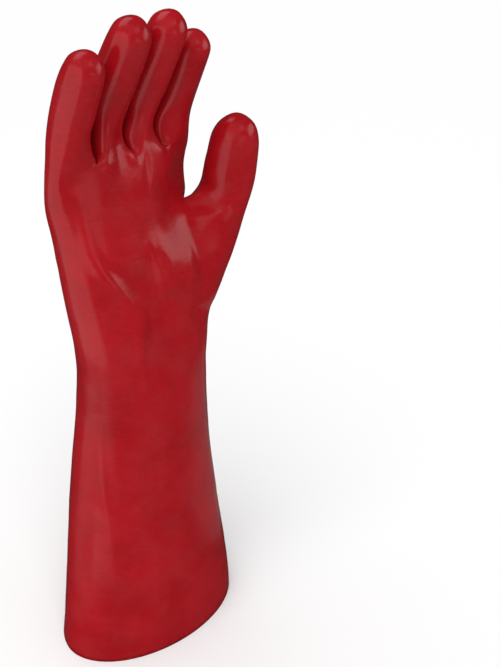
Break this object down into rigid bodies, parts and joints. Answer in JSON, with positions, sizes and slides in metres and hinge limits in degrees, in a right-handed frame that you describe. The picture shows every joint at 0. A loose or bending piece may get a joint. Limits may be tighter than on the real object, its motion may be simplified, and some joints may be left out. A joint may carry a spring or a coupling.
{
  "type": "pvc coated work glove",
  "caption": "Long gauntlet work glove for the right hand with a smooth dipped PVC skin, curved fingers and a flared open cuff, standing on its cuff.",
  "frame": {"origin": "on the plane of the cuff's edge, under the middle of the glove's bounding box", "axes": "+Z from the cuff's edge to the fingers, -Y out of the palm, +X toward the thumb"},
  "size_m": [0.1496, 0.089, 0.4016],
  "materials": {
    "pvc_skin": "smooth satin-gloss PVC, faintly mottled, deep red"
  },
  "bodies": {
    "root": {"glove_shell": "pvc_skin"}
  },
  "joints": []
}
